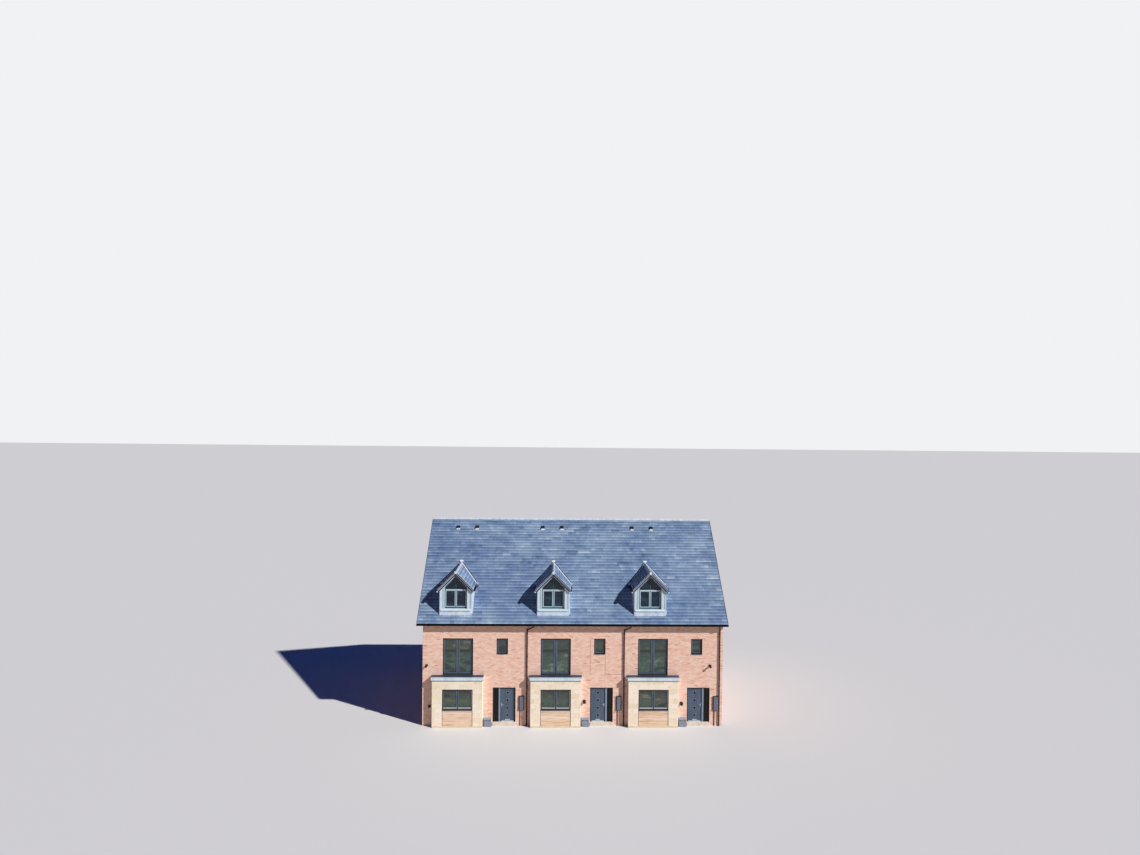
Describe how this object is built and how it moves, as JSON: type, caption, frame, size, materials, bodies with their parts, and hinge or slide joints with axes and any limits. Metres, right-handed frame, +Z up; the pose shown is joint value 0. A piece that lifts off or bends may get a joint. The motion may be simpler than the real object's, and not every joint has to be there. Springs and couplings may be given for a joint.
{
  "type": "terraced house row",
  "caption": "Row of brick terraced houses with stone box bays, tall windows, glazed gable dormers, a steep slate roof and inward-opening front doors.",
  "frame": {"origin": "on the ground, under the middle of the middle house's floor", "axes": "+X along the row to the right as seen from the street, +Y from the street front to the rear, +Z up"},
  "size_m": [18.78, 11.25, 11.86],
  "materials": {
    "brick": "matte",
    "blockwork": "matte",
    "concrete": "matte",
    "boards": "matte",
    "slate": "matte",
    "ridge_tile": "matte",
    "dark_board": "satin",
    "black_gutter": "satin",
    "brown_pipe": "satin",
    "vent_plastic": "matte",
    "black_plastic": "matte",
    "pale_trim": "satin",
    "lead": "matte",
    "frame_plastic": "satin",
    "glass": "gloss",
    "stone": "matte",
    "pale_frame_plastic": "satin",
    "infill_boards": "matte",
    "bay_roof_skin": "satin",
    "sill_metal": "satin",
    "door_skin": "satin",
    "steel": "satin",
    "pale_step": "matte",
    "gas_box": "satin",
    "meter_box": "satin"
  },
  "bodies": {
    "terrace": {"ground_floors": "concrete", "first_floors": "boards", "second_floors": "boards", "front_wall_piers": "brick", "front_wall_upper": "brick", "rear_wall_lower": "brick", "rear_wall_upper": "brick", "gable_wall_left": "brick", "gable_wall_right": "brick", "party_walls": "blockwork", "roof_front": "slate", "roof_rear": "slate", "ridge_tiles": "ridge_tile", "bargeboards": "dark_board", "eaves_boards": "dark_board", "gutters": "black_gutter", "downpipes": "brown_pipe", "roof_vents": "vent_plastic", "flue_terminals": "black_plastic", "dormer_fronts": "pale_trim", "dormer_cheeks": "lead", "dormer_roofs": "slate", "dormer_bargeboards": "pale_trim", "dormer_flashings": "lead", "dormer_frames": "pale_frame_plastic", "dormer_glass": "glass", "bay_bases": "stone", "bay_piers": "stone", "bay_heads": "stone", "bay_panels": "infill_boards", "bay_roofs": "bay_roof_skin", "front_window_frames": "frame_plastic", "front_window_glass": "glass", "window_sills": "sill_metal", "door_frames": "frame_plastic", "thresholds": "pale_step", "gas_boxes": "gas_box", "electric_boxes": "meter_box", "rear_window_frames": "frame_plastic", "rear_window_glass": "glass", "rear_doors": "door_skin", "rooflights": "frame_plastic"},
    "door_left": {"door_leaf_left": "door_skin", "door_glass_left": "glass", "door_furniture_left": "steel"},
    "door_middle": {"door_leaf_middle": "door_skin", "door_glass_middle": "glass", "door_furniture_middle": "steel"},
    "door_right": {"door_leaf_right": "door_skin", "door_glass_right": "glass", "door_furniture_right": "steel"}
  },
  "joints": [
    {"name": "door_hinge_left", "type": "hinge", "parent": "terrace", "child": "door_left", "pos_m": [-3.583, -5.108, 1.2], "axis": [0, 0, -1], "range_deg": [0, 90]},
    {"name": "door_hinge_middle", "type": "hinge", "parent": "terrace", "child": "door_middle", "pos_m": [1.043, -5.108, 1.2], "axis": [0, 0, 1], "range_deg": [0, 90]},
    {"name": "door_hinge_right", "type": "hinge", "parent": "terrace", "child": "door_right", "pos_m": [6.943, -5.108, 1.2], "axis": [0, 0, 1], "range_deg": [0, 90]}
  ]
}
